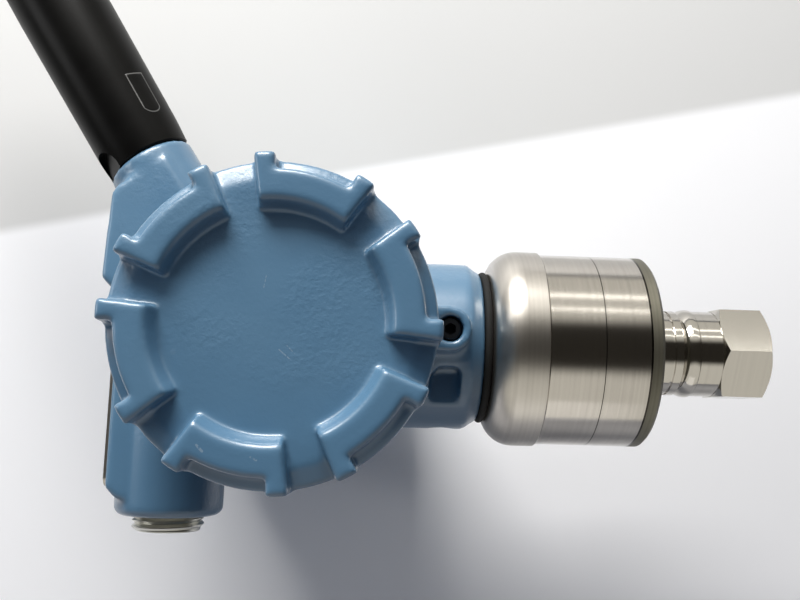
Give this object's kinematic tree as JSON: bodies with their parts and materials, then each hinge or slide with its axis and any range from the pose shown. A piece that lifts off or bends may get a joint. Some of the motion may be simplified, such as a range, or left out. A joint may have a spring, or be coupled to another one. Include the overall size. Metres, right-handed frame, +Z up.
{
  "type": "wireless pressure transmitter",
  "caption": "In-line pressure transmitter: two-chamber cast housing with lugged screw covers and a slanted antenna, on a round steel sensor module with a hex process fitting.",
  "frame": {"origin": "centre of the process connection's end face, on the sensor module's axis", "axes": "+Z up along the sensor module's axis, -Y out of the front cover, +X toward the antenna's side, -X out of the conduit entry"},
  "size_m": [0.2426, 0.1312, 0.2819],
  "materials": {
    "blue_paint": "satin polyurethane over a cast surface",
    "stainless": "turned and brushed",
    "screw_steel": "plain",
    "plug_steel": "bright plated",
    "black_rubber": "matte",
    "radome_plastic": "satin",
    "black_plastic": "moulded",
    "circuit_board": "coated board",
    "board_metal": "tinned",
    "brass": "plain",
    "battery_case": "moulded"
  },
  "bodies": {
    "sensor_module": {"process_fitting": "stainless", "isolating_diaphragm": "stainless", "module_base_plate": "stainless", "module_can": "stainless", "module_header": "stainless", "neck_seal": "black_rubber", "sensor_cell": "stainless", "capillary_tube": "stainless", "board_spacers": "brass", "module_board": "circuit_board", "module_ribbon": "black_plastic", "header_connector": "black_plastic"},
    "housing": {"housing": "blue_paint", "top_plate": "stainless", "top_plate_pins": "stainless", "front_cover_lock_screw": "screw_steel", "rear_cover_lock_screw": "screw_steel", "housing_set_screw": "screw_steel", "ground_screw": "screw_steel", "ground_washer": "screw_steel", "conduit_plug": "plug_steel", "antenna_radome": "radome_plastic", "antenna_seal": "black_rubber", "antenna_element": "circuit_board", "electronics_carrier": "black_plastic", "main_board": "circuit_board", "board_components": "board_metal", "carrier_screws": "screw_steel", "sensor_lead_plug": "black_plastic", "sensor_lead": "black_plastic", "terminal_block": "black_plastic", "terminal_block_screws": "screw_steel", "comm_terminals": "brass", "battery_module": "battery_case"},
    "front_cover_seal": {"front_cover_seal": "black_rubber"},
    "front_cover": {"front_cover": "blue_paint"},
    "rear_cover_seal": {"rear_cover_seal": "black_rubber"},
    "rear_cover": {"rear_cover": "blue_paint"}
  },
  "joints": [
    {"name": "housing_rotation", "type": "hinge", "parent": "sensor_module", "child": "housing", "pos_m": [0, 0, 0.0888], "axis": [0, 0, 1], "range_deg": [-180, 180]},
    {"name": "front_cover_travel", "type": "slide", "parent": "housing", "child": "front_cover_seal", "axis": [0, -1, 0], "range_m": [0, 0.012]},
    {"name": "front_cover_turn", "type": "hinge", "parent": "front_cover_seal", "child": "front_cover", "pos_m": [0, -0.04, 0.147], "axis": [0, -1, 0], "range_deg": [0, 2160]},
    {"name": "rear_cover_travel", "type": "slide", "parent": "housing", "child": "rear_cover_seal", "axis": [0, 1, 0], "range_m": [0, 0.012]},
    {"name": "rear_cover_turn", "type": "hinge", "parent": "rear_cover_seal", "child": "rear_cover", "pos_m": [0, 0.04, 0.147], "axis": [0, 1, 0], "range_deg": [0, 2160]}
  ],
  "couplings": [
    {"joint": "front_cover_travel", "follows": "front_cover_turn", "m_per_rad": 0.0003183},
    {"joint": "rear_cover_travel", "follows": "rear_cover_turn", "m_per_rad": 0.0003183}
  ]
}
